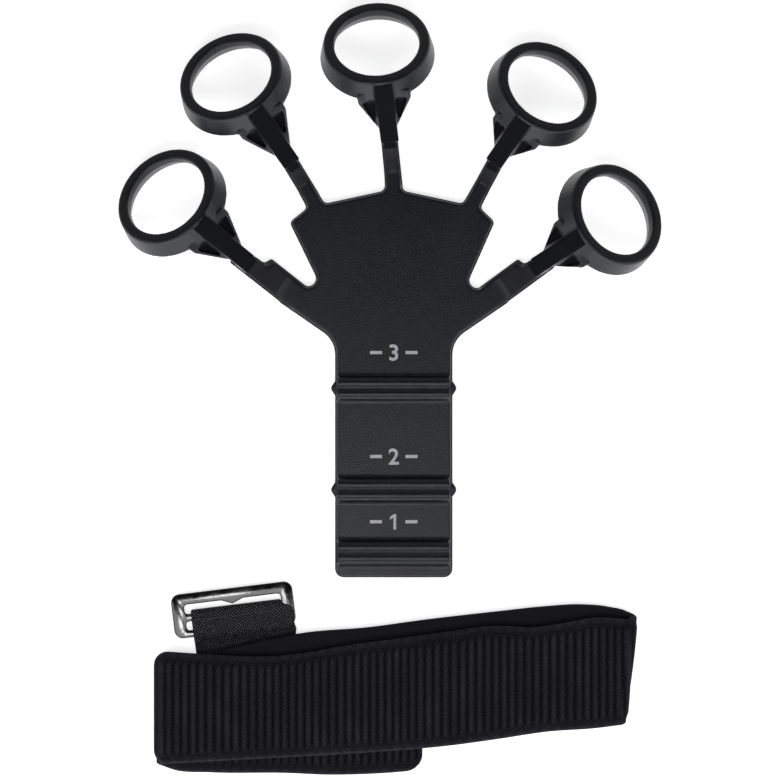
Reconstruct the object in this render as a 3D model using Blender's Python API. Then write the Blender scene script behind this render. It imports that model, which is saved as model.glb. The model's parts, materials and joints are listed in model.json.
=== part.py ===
"""Silicone finger exerciser with its separate wrist strap, laid flat on a table.

A black silicone moulding has a palm web, five stems that rise to leaning finger loops, and a tail
with three locking rolls. A ribbed band folded in three layers carries a webbing tab and a slotted
buckle, which the tail is threaded through in use. Lengths below are in millimetres.
"""

import math

import bmesh
import bpy
from mathutils import Matrix, Vector

MM = 0.001
GAP = 0.3  # clearance between neighbouring solids
NOSE_GAP = 0.35  # clearance round the nose of a flexing joint

# Silicone moulding
WEB_T = 3.6  # thickness of the palm web, stems and tail
FLEX_Z = WEB_T / 2  # height of every flex line in the flat web

# Finger loop, a conical ring with a thick lip at its upper rim
LEAN = math.radians(36.0)  # the loop's axis leans this far outward from upright
LOOP_H = 7.0  # length of the loop along its axis
LOOP_FOOT_R = 17.1  # outside radius at the lower rim
LOOP_LIP_R = 15.9  # outside radius at the upper rim
LOOP_BORE_R = 12.6  # bore through the lip, for the fingertip
LOOP_MOUTH_R = 14.6  # bore at the lower rim
LOOP_SIDES = 40
FOOT_Z = LOOP_FOOT_R * math.sin(LEAN)  # height of the lower rim's centre, the loop touching the table
LIP_Z = FOOT_Z + LOOP_H * math.cos(LEAN)  # height of the upper rim's centre

# Stem and spine
STEM_W = 5.0
NECK_Z = 9.4  # height of the flex line between stem and loop
SPINE_W = 5.4
SPINE_T = 5.2
GUSSET_T = 2.4
GUSSET_HALF = 7.9  # reach of a gusset along the loop's wall, from the spine's middle
POCKET_DEPTH = 1.1

# Root of each stem on the palm: middle of the stem's flat end, and half its width there
ROOT_OUTER = (29.45, -1.87, 4.3)
ROOT_INNER = (25.5, 29.2, 2.5)
ROOT_MIDDLE = (0.0, 32.2, 2.6)

# Each finger: root, side of the palm, neck, centre of the upper rim, direction that the loop leans
FINGERS = {
    "thumb": (ROOT_OUTER, -1, (-45.2, 9.5), (-67.7, 27.6), 133.0),
    "index": (ROOT_INNER, -1, (-31.7, 39.3), (-48.5, 63.1), 119.0),
    "middle": (ROOT_MIDDLE, 1, (-1.45, 46.2), (-5.1, 73.0), 94.0),
    "ring": (ROOT_INNER, 1, (31.1, 39.4), (45.8, 60.0), 53.0),
    "little": (ROOT_OUTER, 1, (44.3, 8.1), (66.4, 22.2), 31.0),
}

# Tail: width, flex lines and rolls, measured along -Y
TAIL_HALF = 17.6
PALM_END_Y = -21.4
TAIL_FLEX_Y = (-23.55, -39.6, -68.0)
TAIL_END_Y = -86.2
ROLL_Y = (-29.5, -59.8, -78.6)  # middle of each double roll
ROLL_PITCH = 3.2  # between the two ridges of a roll
RIDGE_R = 2.0
ROLL_TOP_Z = 7.0
LUG = 1.1  # reach of the small lug at each end of a roll

# Strap: a band folded in three layers, each layer askew by its own angle
BAND_W = 35.0
BAND_T = 2.6
FOLD_LEFT_X = -71.0
FOLD_RIGHT_X = 71.5
FOLD_OUT = 1.4  # each fold turns about a line this far past the ends of its two layers
PATCH_T = 1.0  # hook patch under the free end of the front layer
PATCH_LENGTH = 46.0
PATCH_W = 30.0
UNDER_Z = 0.0
BACK_Z = UNDER_Z + BAND_T + GAP
PATCH_Z = BACK_Z + BAND_T + GAP
FRONT_Z = PATCH_Z + PATCH_T + GAP
# Each layer: slope in degrees, middle of its width at x = 0, left end, right end, height of its underside
UNDER_LAYER = (-0.3, -127.9, FOLD_LEFT_X, 8.5, UNDER_Z)
BACK_LAYER = (5.2, -119.6, FOLD_LEFT_X, FOLD_RIGHT_X, BACK_Z)
FRONT_LAYER = (4.8, -121.2, FOLD_LEFT_X - 0.5, FOLD_RIGHT_X, FRONT_Z)

# Webbing tab sewn under the back layer, and the buckle that it holds
TAB_W = 27.0
TAB_SHIFT = 0.8  # the webbing sits off the buckle's middle
PLY_T = 1.0
TAB_TURN = 7.0
TAB_X = -48.0
BUCKLE_Y = -95.8
BUCKLE_W = 36.6
BUCKLE_T = 2.0
BUCKLE_SIDE = 3.8
BUCKLE_Z = PLY_T + 2 * GAP
# Across the buckle, from the band's side: lower bar, webbing slot, centre bar, tail slot, upper bar
BUCKLE_STACK = (2.2, 2.6, 2.3, 2.8, 3.4)
TOOTH_W = 6.6
TOOTH_H = 1.3
TAB_FLEX = -8.2  # flex line of the tab, from the buckle's middle
TAB_SEAM = 2.6  # length of the tab that is sewn under the band


# ---------------------------------------------------------------- helpers

def clear_scene():
    for obj in list(bpy.data.objects):
        bpy.data.objects.remove(obj, do_unlink=True)


def new_collection(name):
    collection = bpy.data.collections.new(name)
    bpy.context.scene.collection.children.link(collection)
    return collection


def material(name, hex_colour, roughness, metallic=0.0):
    mat = bpy.data.materials.new(name)
    mat.use_nodes = True
    shader = mat.node_tree.nodes["Principled BSDF"]
    channels = [int(hex_colour[i:i + 2], 16) / 255 for i in (0, 2, 4)]
    shader.inputs["Base Color"].default_value = (*[c ** 2.2 for c in channels], 1.0)
    shader.inputs["Roughness"].default_value = roughness
    shader.inputs["Metallic"].default_value = metallic
    return mat


def direction(degrees):
    angle = math.radians(degrees)
    return Vector((math.cos(angle), math.sin(angle)))


def arc(centre, radius, start, end, steps):
    """Points on a circle from start to end, in degrees, both included."""
    points = []
    for i in range(steps + 1):
        angle = math.radians(start + (end - start) * i / steps)
        points.append((centre[0] + radius * math.cos(angle), centre[1] + radius * math.sin(angle)))
    return points


def rounded(corners, steps=4):
    """An outline from (x, y, fillet radius) corners, each fillet drawn as an arc."""
    points = []
    count = len(corners)
    for i, (x, y, radius) in enumerate(corners):
        here = Vector((x, y))
        if radius == 0:
            points.append((x, y))
            continue
        back = (Vector(corners[i - 1][:2]) - here).normalized()
        ahead = (Vector(corners[(i + 1) % count][:2]) - here).normalized()
        half = back.angle(ahead) / 2
        centre = here + (back + ahead).normalized() * (radius / math.sin(half))
        first = here + back * (radius / math.tan(half)) - centre
        last = here + ahead * (radius / math.tan(half)) - centre
        sweep = first.angle_signed(last)
        for k in range(steps + 1):
            turned = Matrix.Rotation(-sweep * k / steps, 2) @ first
            points.append(tuple(centre + turned))
    return points


def link(name, mesh, mat, collection):
    obj = bpy.data.objects.new(name, mesh)
    obj.data.materials.clear()
    obj.data.materials.append(mat)
    collection.objects.link(obj)
    return obj


def prism(name, outline, low, high, mat, collection, place=None):
    """A flat outline in millimetres, filled and extruded from low to high, then placed."""
    curve = bpy.data.curves.new(name, "CURVE")
    curve.dimensions = "2D"
    curve.fill_mode = "BOTH"
    curve.extrude = (high - low) / 2 * MM
    spline = curve.splines.new("POLY")
    spline.points.add(len(outline) - 1)
    spline.use_cyclic_u = True
    for point, (x, y) in zip(spline.points, outline):
        point.co = (x * MM, y * MM, 0.0, 1.0)
    guide = bpy.data.objects.new(name, curve)
    bpy.context.scene.collection.objects.link(guide)
    bpy.context.view_layer.update()
    graph = bpy.context.evaluated_depsgraph_get()
    mesh = bpy.data.meshes.new_from_object(guide.evaluated_get(graph))
    bpy.data.objects.remove(guide, do_unlink=True)
    shell = bmesh.new()
    shell.from_mesh(mesh)
    bmesh.ops.remove_doubles(shell, verts=shell.verts, dist=1e-6)
    shell.transform(Matrix.Translation((0, 0, (low + high) / 2 * MM)))
    if place is not None:
        shell.transform(place)
    bmesh.ops.recalc_face_normals(shell, faces=shell.faces)
    if shell.calc_volume(signed=True) < 0:
        bmesh.ops.reverse_faces(shell, faces=shell.faces)
    shell.to_mesh(mesh)
    shell.free()
    return link(name, mesh, mat, collection)


def combine(base, others, operation):
    """Applies one Boolean after another to base, and removes the other objects."""
    for other in others:
        step = base.modifiers.new(operation.lower(), "BOOLEAN")
        step.operation = operation
        step.solver = "EXACT"
        step.object = other
        bpy.context.view_layer.update()
        graph = bpy.context.evaluated_depsgraph_get()
        mesh = bpy.data.meshes.new_from_object(base.evaluated_get(graph))
        base.modifiers.clear()
        base.data = mesh
        bpy.data.objects.remove(other, do_unlink=True)
    return base


def upright(plan_point, degrees):
    """Stands a side profile up: its x runs outward along degrees, its y runs up."""
    turn = Matrix.Rotation(math.radians(degrees), 4, "Z") @ Matrix.Rotation(math.pi / 2, 4, "X")
    return Matrix.Translation((plan_point[0] * MM, plan_point[1] * MM, 0)) @ turn


# ---------------------------------------------------------------- silicone moulding

def stem_frame(finger):
    """The stem's root, outward unit direction, sideways unit direction and flex point."""
    root, side, neck = finger[0], finger[1], finger[2]
    start = Vector((root[0] * side, root[1]))
    along = (Vector(neck) - start).normalized()
    across = Vector((-along.y, along.x))
    flex = start + along * (WEB_T / 2 + NOSE_GAP)
    return start, along, across, flex


def root_edge(name):
    """The two plan corners where a stem's root stub ends, clockwise side first."""
    start, along, across, flex = stem_frame(FINGERS[name])
    half = FINGERS[name][0][2]
    low, high = start - across * half, start + across * half
    return (low.x, low.y, 0), (high.x, high.y, 0)


def palm_outline():
    shoulder = (TAIL_HALF, -15.2, 8.0)
    notch = (19.3, -4.3, 2.3)
    shelf = (30.3, 20.4, 1.5)
    left_shelf = (-31.3, 20.3, 1.5)
    outer_fillet = (26.0, 24.5, 1.3)
    inner_fillet = (20.7, 25.9, 1.5)
    crown_fillet = (2.6, 29.8, 1.8)

    def mirrored(corner):
        return (-corner[0], corner[1], corner[2])

    right = [(TAIL_HALF, PALM_END_Y, 0), shoulder, *root_edge("little"), notch, shelf, outer_fillet]
    right += [*root_edge("ring"), inner_fillet, crown_fillet]
    left = [mirrored(c) for c in (crown_fillet, inner_fillet)]
    left += [*root_edge("index"), mirrored(outer_fillet), left_shelf, mirrored(notch)]
    left += [*root_edge("thumb"), mirrored(shoulder), (-TAIL_HALF, PALM_END_Y, 0)]
    return rounded(right + [*root_edge("middle")] + left)


def make_palm(mat, collection):
    return prism("palm_web", palm_outline(), 0, WEB_T, mat, collection)


def stem_profile(length):
    """Side view of a stem: a nose round its flex line, then a rise that steepens to the neck."""
    half = WEB_T / 2
    reach = length - (SPINE_T / 2 + NOSE_GAP) * math.cos(math.atan(2 * (NECK_Z - FLEX_Z) / length))
    steps = 8
    upper, lower = [], []
    for i in range(1, steps + 1):
        s = reach * i / steps
        z = FLEX_Z + (NECK_Z - FLEX_Z) * (s / length) ** 2
        slope = math.atan(2 * (NECK_Z - FLEX_Z) * s / length ** 2)
        upper.append((s - half * math.sin(slope), z + half * math.cos(slope)))
        lower.append((s + half * math.sin(slope), z - half * math.cos(slope)))
    nose = arc((0, FLEX_Z), half, 90, 270, 8)
    return nose + lower + upper[::-1]


def stem_plan(name, length):
    """Top view of a stem in its own frame, with the moulded tab on the two outer ones."""
    half = FINGERS[name][0][2]
    if FINGERS[name][0] is not ROOT_OUTER:
        neck = STEM_W / 2
        return [(-5, -half), (length, -neck), (length, neck), (-5, half)]
    lower = [(-5, -half), (length + 1, -3.4)]
    tab = [(9.9, 4.6), (8.3, 5.1), (7.0, 4.8)]
    upper = [(length + 1, 2.6), (11.2, 2.3), (10.2, 2.9), *tab, (-5, half)]
    plan = lower + upper
    if FINGERS[name][1] < 0:
        plan = [(s, -n) for s, n in plan][::-1]
    return plan


def make_stem(name, mat, collection):
    start, along, across, flex = stem_frame(FINGERS[name])
    length = (Vector(FINGERS[name][2]) - flex).length
    degrees = math.degrees(math.atan2(along.y, along.x))
    stem = prism(f"{name}_stem", stem_profile(length), -7, 7, mat, collection, upright(flex, degrees))
    flat = Matrix.Translation((flex.x * MM, flex.y * MM, 0))
    flat = flat @ Matrix.Rotation(math.radians(degrees), 4, "Z")
    plan = prism("plan", stem_plan(name, length), -3, 20, mat, collection, flat)
    return combine(stem, [plan], "INTERSECT")


def loop_ring(name, centre, lean_degrees, mat, collection):
    """The conical ring with its thick lip, turned round its own leaning axis."""
    profile = [
        (LOOP_LIP_R - 0.5, LOOP_H),
        (LOOP_LIP_R, LOOP_H - 0.6),
        (LOOP_FOOT_R, 0.5),
        (LOOP_FOOT_R - 0.3, 0.0),
        (LOOP_MOUTH_R, 0.0),
        (LOOP_BORE_R, LOOP_H - 2.6),
        (LOOP_BORE_R, LOOP_H - 0.6),
        (LOOP_BORE_R + 0.5, LOOP_H),
    ]
    mesh = bpy.data.meshes.new(name)
    turned = bmesh.new()
    first = [turned.verts.new((r * MM, 0, z * MM)) for r, z in profile]
    edges = [turned.edges.new((first[i], first[(i + 1) % len(first)])) for i in range(len(first))]
    bmesh.ops.spin(turned, geom=first + edges, cent=(0, 0, 0), axis=(0, 0, 1), angle=math.tau,
                   steps=LOOP_SIDES, use_merge=True)
    bmesh.ops.remove_doubles(turned, verts=turned.verts, dist=1e-6)
    bmesh.ops.recalc_face_normals(turned, faces=turned.faces)
    out = direction(lean_degrees)
    axis_shift = LOOP_H * math.sin(LEAN)
    foot = Vector((centre[0] - out.x * axis_shift, centre[1] - out.y * axis_shift, FOOT_Z)) * MM
    place = Matrix.Translation(foot) @ Matrix.Rotation(math.radians(lean_degrees), 4, "Z")
    turned.transform(place @ Matrix.Rotation(LEAN, 4, "Y"))
    turned.to_mesh(mesh)
    turned.free()
    return link(name, mesh, mat, collection)


def wall_line(name):
    """In the spine's side view: the wall's lower and upper rim, as (distance from the neck, height)."""
    neck, centre, lean_degrees = FINGERS[name][2:]
    reach = Vector(centre) - Vector(neck)
    skew = reach.angle(direction(lean_degrees))
    lip = reach.length - LOOP_LIP_R * math.cos(LEAN) / math.cos(skew)
    foot = reach.length - (LOOP_H * math.sin(LEAN) + LOOP_FOOT_R * math.cos(LEAN)) / math.cos(skew)
    return (foot, FOOT_Z + LOOP_FOOT_R * math.sin(LEAN)), (lip, LIP_Z + LOOP_LIP_R * math.sin(LEAN))


def spine_profile(name, thickness, drop, start):
    """Side view of the spine, or of a gusset's plate: from the neck up into the loop's wall."""
    (foot_s, foot_z), (lip_s, lip_z) = wall_line(name)
    raise_by = 1.1 - drop
    top_foot = Vector((foot_s - 0.81 * raise_by, foot_z + 0.59 * raise_by))
    top_lip = Vector((lip_s - 0.81 * raise_by, lip_z + 0.59 * raise_by - 1.2))
    slope = math.atan2(top_foot.y - (NECK_Z + thickness / 2 * 0.75), top_foot.x)
    normal = Vector((-math.sin(slope), math.cos(slope)))
    neck = Vector((0, NECK_Z))
    top_neck = neck + normal * (SPINE_T / 2 - drop)
    low_neck = top_neck - normal * thickness
    ahead = Vector((math.cos(slope), math.sin(slope))) * start
    low_foot = top_foot + Vector((0.9, -0.6)) * thickness
    low_lip = top_lip + Vector((1.6, -0.9))
    if start:
        return [tuple(p) for p in (top_neck + ahead, low_neck + ahead, low_foot, low_lip, top_lip, top_foot)]
    turn = math.degrees(slope)
    nose = arc((0, NECK_Z), SPINE_T / 2, 90 + turn, 270 + turn, 10)
    return nose + [tuple(p) for p in (low_foot, low_lip, top_lip, top_foot)]


def make_loop(name, mat, collection):
    neck, centre, lean_degrees = FINGERS[name][2:]
    reach = Vector(centre) - Vector(neck)
    degrees = math.degrees(math.atan2(reach.y, reach.x))
    place = upright(neck, degrees)
    flat = Matrix.Translation((neck[0] * MM, neck[1] * MM, 0))
    flat = flat @ Matrix.Rotation(math.radians(degrees), 4, "Z")
    foot_s = wall_line(name)[0][0]

    ring = loop_ring(f"{name}_loop", centre, lean_degrees, mat, collection)
    spine_side = spine_profile(name, SPINE_T, 0.0, 0)
    spine = prism("spine", spine_side, -SPINE_W / 2, SPINE_W / 2, mat, collection, place)

    plate_side = spine_profile(name, GUSSET_T, 1.6, 1.0)
    plate = prism("plate", plate_side, -GUSSET_HALF - 1, GUSSET_HALF + 1, mat, collection, place)
    triangle = [(1.2, -2.2), (foot_s + 0.5, -GUSSET_HALF), (foot_s + 2.4, -GUSSET_HALF),
                (foot_s + 2.4, GUSSET_HALF), (foot_s + 0.5, GUSSET_HALF), (1.2, 2.2)]
    cut = prism("triangle", triangle, 0, 40, mat, collection, flat)
    plate = combine(plate, [cut], "INTERSECT")

    pockets = []
    for side in (-1, 1):
        corners = [(foot_s - 4.4, side * 3.4), (foot_s - 0.4, side * (GUSSET_HALF - 2.0)),
                   (foot_s - 0.2, side * 3.4)]
        pocket_side = spine_profile(name, 6.0, 1.6 + POCKET_DEPTH - 6.0, 0.5)
        deep = prism("pocket", pocket_side, -9, 9, mat, collection, place)
        shape = prism("pocket_plan", corners[::side], 0, 40, mat, collection, flat)
        pockets.append(combine(deep, [shape], "INTERSECT"))
    plate = combine(plate, pockets, "DIFFERENCE")
    return combine(ring, [plate, spine], "UNION")


def roll_profile(middle):
    """Side view of a double roll: two half-round ridges and the valley between them."""
    base = WEB_T
    peak = ROLL_TOP_Z - RIDGE_R
    low = middle - ROLL_PITCH / 2 - RIDGE_R
    high = middle + ROLL_PITCH / 2 + RIDGE_R
    points = [(low, base - 1.0)]
    points += arc((middle - ROLL_PITCH / 2, peak), RIDGE_R, 180, 36, 7)
    points += arc((middle + ROLL_PITCH / 2, peak), RIDGE_R, 144, 0, 7)
    points.append((high, base - 1.0))
    return points


def across_tail(name, profile, half, mat, collection):
    """Extrudes a side profile (y, z) of the tail across its width."""
    turn = Matrix.Rotation(math.pi / 2, 4, "Z") @ Matrix.Rotation(math.pi / 2, 4, "X")
    return prism(name, profile, -half, half, mat, collection, turn)


def make_tail_part(name, index, mat, collection):
    """One length of the tail, from its nose round a flex line to the next flex line."""
    start = TAIL_FLEX_Y[index]
    last = index == len(TAIL_FLEX_Y) - 1
    end = TAIL_END_Y if last else TAIL_FLEX_Y[index + 1] + WEB_T / 2 + NOSE_GAP
    nose = arc((start, FLEX_Z), WEB_T / 2, -90, 90, 8)
    if last:
        side = nose + [(ROLL_Y[2] - 3.0, WEB_T), (end + 0.8, WEB_T - 0.6), (end, WEB_T - 1.6), (end, 0)]
    else:
        side = nose + [(end, WEB_T), (end, 0)]
    body = across_tail(name, side, TAIL_HALF, mat, collection)
    roll = across_tail("roll", roll_profile(ROLL_Y[index]), TAIL_HALF - 0.4, mat, collection)
    extras = [roll]
    if not last:
        y = ROLL_Y[index]
        lug = [(TAIL_HALF - 2, y - 2.2), (TAIL_HALF, y - 2.2), (TAIL_HALF + LUG, y - 1.2),
               (TAIL_HALF + LUG, y + 1.2), (TAIL_HALF, y + 2.2), (TAIL_HALF - 2, y + 2.2)]
        extras.append(prism("lug", lug, 0.6, 5.4, mat, collection))
        extras.append(prism("lug", [(-x, v) for x, v in lug][::-1], 0.6, 5.4, mat, collection))
    return combine(body, extras, "UNION")


# ---------------------------------------------------------------- wrist strap

def layer_frame(layer):
    slope, middle_y = layer[0], layer[1]
    return Matrix.Translation((0, middle_y * MM, 0)) @ Matrix.Rotation(math.radians(slope), 4, "Z")


def band_layer(name, layer, left_corner, right_corner, mat, collection):
    """One straight layer of the band, with trimmed corners at a free end."""
    left, right, low = layer[2:]
    half = BAND_W / 2
    corners = [(left, -half, left_corner), (right, -half, right_corner),
               (right, half, right_corner), (left, half, left_corner)]
    return prism(name, rounded(corners), low, low + BAND_T, mat, collection, layer_frame(layer))


def make_band(cloth, hook, collection):
    band_layer("under_layer", UNDER_LAYER, 0, 5.0, cloth, collection)
    band_layer("back_layer", BACK_LAYER, 0, 0, cloth, collection)
    band_layer("front_layer", FRONT_LAYER, 5.0, 0, cloth, collection)
    left = FRONT_LAYER[2] + 2.0
    half = PATCH_W / 2
    corners = [(left, -half, 4.0), (left + PATCH_LENGTH, -half, 1.0),
               (left + PATCH_LENGTH, half, 1.0), (left, half, 4.0)]
    place = layer_frame(FRONT_LAYER)
    prism("hook_patch", rounded(corners), PATCH_Z, PATCH_Z + PATCH_T, hook, collection, place)


def buckle_frame():
    place = Matrix.Translation((TAB_X * MM, BUCKLE_Y * MM, 0))
    return place @ Matrix.Rotation(math.radians(TAB_TURN), 4, "Z")


def buckle_edges():
    """Positions of the buckle's bars and slots across it, from its middle."""
    edges = [-sum(BUCKLE_STACK) / 2]
    for depth in BUCKLE_STACK:
        edges.append(edges[-1] + depth)
    return edges


def make_buckle(mat, collection):
    """A slotted frame: webbing slot, centre bar, and a tail slot with a tooth."""
    edges = buckle_edges()
    half = BUCKLE_W / 2
    outer = [(-half, edges[0], 2.4), (half, edges[0], 2.4), (half, edges[5], 2.4), (-half, edges[5], 2.4)]
    place = buckle_frame()
    frame = prism("buckle", rounded(outer), BUCKLE_Z, BUCKLE_Z + BUCKLE_T, mat, collection, place)
    inner = half - BUCKLE_SIDE
    slots = []
    for low, high, tooth in ((edges[1], edges[2], False), (edges[3], edges[4], True)):
        corners = [(-inner, low, 0.7), (inner, low, 0.7), (inner, high, 0.7)]
        if tooth:
            corners += [(TOOTH_W / 2, high, 0), (0, high - TOOTH_H, 0), (-TOOTH_W / 2, high, 0)]
        corners.append((-inner, high, 0.7))
        slots.append(prism("slot", rounded(corners, 2), -5, 9, mat, collection, place))
    return combine(frame, slots, "DIFFERENCE")


def across_tab(name, profile, mat, collection):
    """Extrudes a side profile (y, z) across the tab's width, in the buckle's frame."""
    turn = Matrix.Rotation(math.pi / 2, 4, "Z") @ Matrix.Rotation(math.pi / 2, 4, "X")
    low, high = TAB_SHIFT - TAB_W / 2, TAB_SHIFT + TAB_W / 2
    return prism(name, profile, low, high, mat, collection, buckle_frame() @ turn)


def fold_curve(start, middle, radius, depth, steps):
    """The webbing's turn round the centre bar: a half circle pressed to a shallower depth."""
    return [(start + depth * (y - start), z) for y, z in arc((start, middle), radius, -90, 90, steps)]


def make_tab(mat, collection):
    """The webbing: a loop round the buckle's two inner bars, and its ends sewn under the band."""
    edges = buckle_edges()
    low = GAP / 2
    over = BUCKLE_Z + BUCKLE_T + GAP  # underside of the upper ply
    middle = (low + over + PLY_T) / 2
    bar_end = edges[3] + GAP
    crotch = edges[0] - GAP  # where the two plies meet
    nose_r = PLY_T + GAP / 2

    nose = arc((TAB_FLEX, low + nose_r), nose_r, 90, 270, 8)
    outside = fold_curve(bar_end, middle, middle - low, 0.45, 8)
    loop = across_tab("webbing_loop", [*nose, *outside, (crotch, over + PLY_T)], mat, collection)
    inside = fold_curve(bar_end, middle, middle - low - PLY_T, 0.1, 4)
    hollow = across_tab("hollow", [(crotch, low + PLY_T), *inside, (crotch, over)], mat, collection)
    wider = buckle_frame() @ Matrix.Scale(1.3, 4, (1, 0, 0)) @ buckle_frame().inverted()
    hollow.data.transform(wider)
    combine(loop, [hollow], "DIFFERENCE")

    near = TAB_FLEX - nose_r - NOSE_GAP
    far = near - TAB_SEAM
    top = low + 2 * nose_r
    across_tab("tab_seam", [(near, low), (near, top), (far, top), (far, low)], mat, collection)


# ---------------------------------------------------------------- bodies

def pivot(name, position, parent):
    """An empty on a joint's axis, parented without moving."""
    empty = bpy.data.objects.new(name, None)
    empty.empty_display_size = 0.01
    bpy.data.collections["finger_exerciser"].objects.link(empty)
    empty.matrix_world = Matrix.Translation(Vector(position) * MM)
    attach(empty, parent)
    return empty


def attach(obj, parent):
    if parent is None:
        return
    bpy.context.view_layer.update()
    obj.parent = parent
    obj.matrix_parent_inverse = parent.matrix_world.inverted()


def fold_pivot(layer, x, z):
    spot = layer_frame(layer) @ Vector((x * MM, 0, 0))
    return (spot.x / MM, spot.y / MM, z)


def assemble():
    """Groups the parts under empties on their joint axes."""
    root = pivot("exerciser", (0, 0, 0), None)
    objects = bpy.data.objects
    attach(objects["palm_web"], root)
    for name in FINGERS:
        flex = stem_frame(FINGERS[name])[3]
        neck = FINGERS[name][2]
        stem = pivot(f"{name}_stem_flex", (flex.x, flex.y, FLEX_Z), root)
        attach(objects[f"{name}_stem"], stem)
        attach(objects[f"{name}_loop"], pivot(f"{name}_loop_flex", (*neck, NECK_Z), stem))
    above = root
    for name, y in zip(("tail_upper", "tail_middle", "tail_end"), TAIL_FLEX_Y):
        above = pivot(f"{name}_flex", (0, y, FLEX_Z), above)
        attach(objects[name], above)
    strap = pivot("strap", (0, UNDER_LAYER[1], 0), root)
    attach(objects["under_layer"], strap)
    back = pivot("left_fold", fold_pivot(BACK_LAYER, FOLD_LEFT_X - FOLD_OUT, BACK_Z - GAP / 2), strap)
    front_z = (BACK_Z + BAND_T + FRONT_Z) / 2
    front = pivot("right_fold", fold_pivot(BACK_LAYER, FOLD_RIGHT_X + FOLD_OUT, front_z), back)
    flex = buckle_frame() @ Vector((0, TAB_FLEX * MM, 0))
    tab = pivot("tab_flex", (flex.x / MM, flex.y / MM, GAP / 2 + PLY_T + GAP / 2), back)
    for name, parent in (("back_layer", back), ("tab_seam", back), ("front_layer", front),
                         ("hook_patch", front), ("webbing_loop", tab), ("buckle", tab)):
        attach(objects[name], parent)
    return root


def rest_on_origin(root):
    """Moves the assembly so that the bottom centre of its box is the origin."""
    bpy.context.view_layer.update()
    points = [obj.matrix_world @ v.co for obj in bpy.data.objects if obj.type == "MESH"
              for v in obj.data.vertices]
    low = [min(p[i] for p in points) for i in range(3)]
    high = [max(p[i] for p in points) for i in range(3)]
    root.location = (-(low[0] + high[0]) / 2, -(low[1] + high[1]) / 2, -low[2])


def main():
    clear_scene()
    collection = new_collection("finger_exerciser")
    silicone = material("black_silicone", "26272B", 0.5)
    cloth = material("loop_pile_band", "18181B", 0.9)
    hook = material("hook_tape", "202024", 0.8)
    webbing = material("nylon_webbing", "2A2A2E", 0.7)
    enamel = material("black_enamelled_steel", "0C0C0E", 0.2, 0.3)

    make_palm(silicone, collection)
    for name in FINGERS:
        make_stem(name, silicone, collection)
        make_loop(name, silicone, collection)
    for index, name in enumerate(("tail_upper", "tail_middle", "tail_end")):
        make_tail_part(name, index, silicone, collection)
    make_band(cloth, hook, collection)
    make_tab(webbing, collection)
    make_buckle(enamel, collection)
    rest_on_origin(assemble())


main()
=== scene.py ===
"""Silicone finger exerciser and its folded wrist strap, lying on a pale table.

The moulding is built as one lump, softened, and cut where it flexes, so its pieces meet exactly.
Lengths are in millimetres, from the middle of the tail's top, until at() turns them into metres.
"""

import json
import math

import bpy
import numpy as np
from mathutils import Matrix, Vector


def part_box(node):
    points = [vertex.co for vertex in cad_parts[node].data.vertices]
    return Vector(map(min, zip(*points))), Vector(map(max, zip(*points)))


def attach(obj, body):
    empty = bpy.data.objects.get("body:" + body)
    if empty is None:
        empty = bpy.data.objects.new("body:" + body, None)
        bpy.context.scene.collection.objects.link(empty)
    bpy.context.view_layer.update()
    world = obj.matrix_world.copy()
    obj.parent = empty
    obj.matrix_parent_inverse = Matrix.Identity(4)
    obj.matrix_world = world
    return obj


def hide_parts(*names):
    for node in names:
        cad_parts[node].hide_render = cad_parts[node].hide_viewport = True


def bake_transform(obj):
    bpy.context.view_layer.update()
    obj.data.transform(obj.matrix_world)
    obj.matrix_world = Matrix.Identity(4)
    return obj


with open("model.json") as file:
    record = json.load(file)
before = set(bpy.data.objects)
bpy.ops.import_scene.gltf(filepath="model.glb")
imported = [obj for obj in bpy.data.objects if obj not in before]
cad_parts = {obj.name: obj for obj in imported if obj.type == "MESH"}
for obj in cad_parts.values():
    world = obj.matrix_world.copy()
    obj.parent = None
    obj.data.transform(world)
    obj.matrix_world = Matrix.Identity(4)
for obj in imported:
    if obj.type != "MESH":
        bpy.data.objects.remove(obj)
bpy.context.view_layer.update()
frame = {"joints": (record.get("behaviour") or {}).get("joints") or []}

MM = 0.001
PER_MM = 1 / MM
JOINTS = {joint["name"]: joint for joint in frame["joints"]}

# Moulding
WEB_T = 3.6
FLEX_Z = WEB_T / 2
NOSE = 2.15  # from a stem's root to its flex line
DRAFT = 0.7  # the top face stands in from the foot of the side walls
WALL_H = 1.1  # upright part of the side walls, below their draft
LEAN = math.radians(36.0)
LOOP_H, LOOP_FOOT_R, LOOP_LIP_R = 7.0, 17.1, 15.9
LOOP_BORE_R, LOOP_MOUTH_R = 12.6, 14.6
FOOT_Z = LOOP_FOOT_R * math.sin(LEAN)
LIP_Z = FOOT_Z + LOOP_H * math.cos(LEAN)
NECK_Z = 9.4
STEM_W, SPINE_W, SPINE_T = 5.0, 5.4, 5.2
GUSSET_T, GUSSET_HALF, POCKET_DEPTH = 2.4, 7.9, 1.1
VOXEL = 0.32  # the lump's grid, which also sets how far its edges are rounded
STEP = 3.0  # the stem meets the thicker spine this far before the neck

# Root of each stem: middle of its flat end, and half its width there
ROOT_OUTER = (29.45, -1.87, 4.3)
ROOT_INNER = (25.5, 29.2, 2.5)
ROOT_MIDDLE = (0.0, 32.2, 2.6)
# Each finger: root, side, neck, centre of the loop's upper rim, direction that the loop leans
FINGERS = {
    "thumb": (ROOT_OUTER, -1, (-45.2, 9.5), (-67.7, 27.6), 133.0),
    "index": (ROOT_INNER, -1, (-31.7, 39.3), (-48.5, 63.1), 119.0),
    "middle": (ROOT_MIDDLE, 1, (-1.45, 46.2), (-5.1, 73.0), 94.0),
    "ring": (ROOT_INNER, 1, (31.1, 39.4), (45.8, 60.0), 53.0),
    "little": (ROOT_OUTER, 1, (44.3, 8.1), (66.4, 22.2), 31.0),
}

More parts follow.
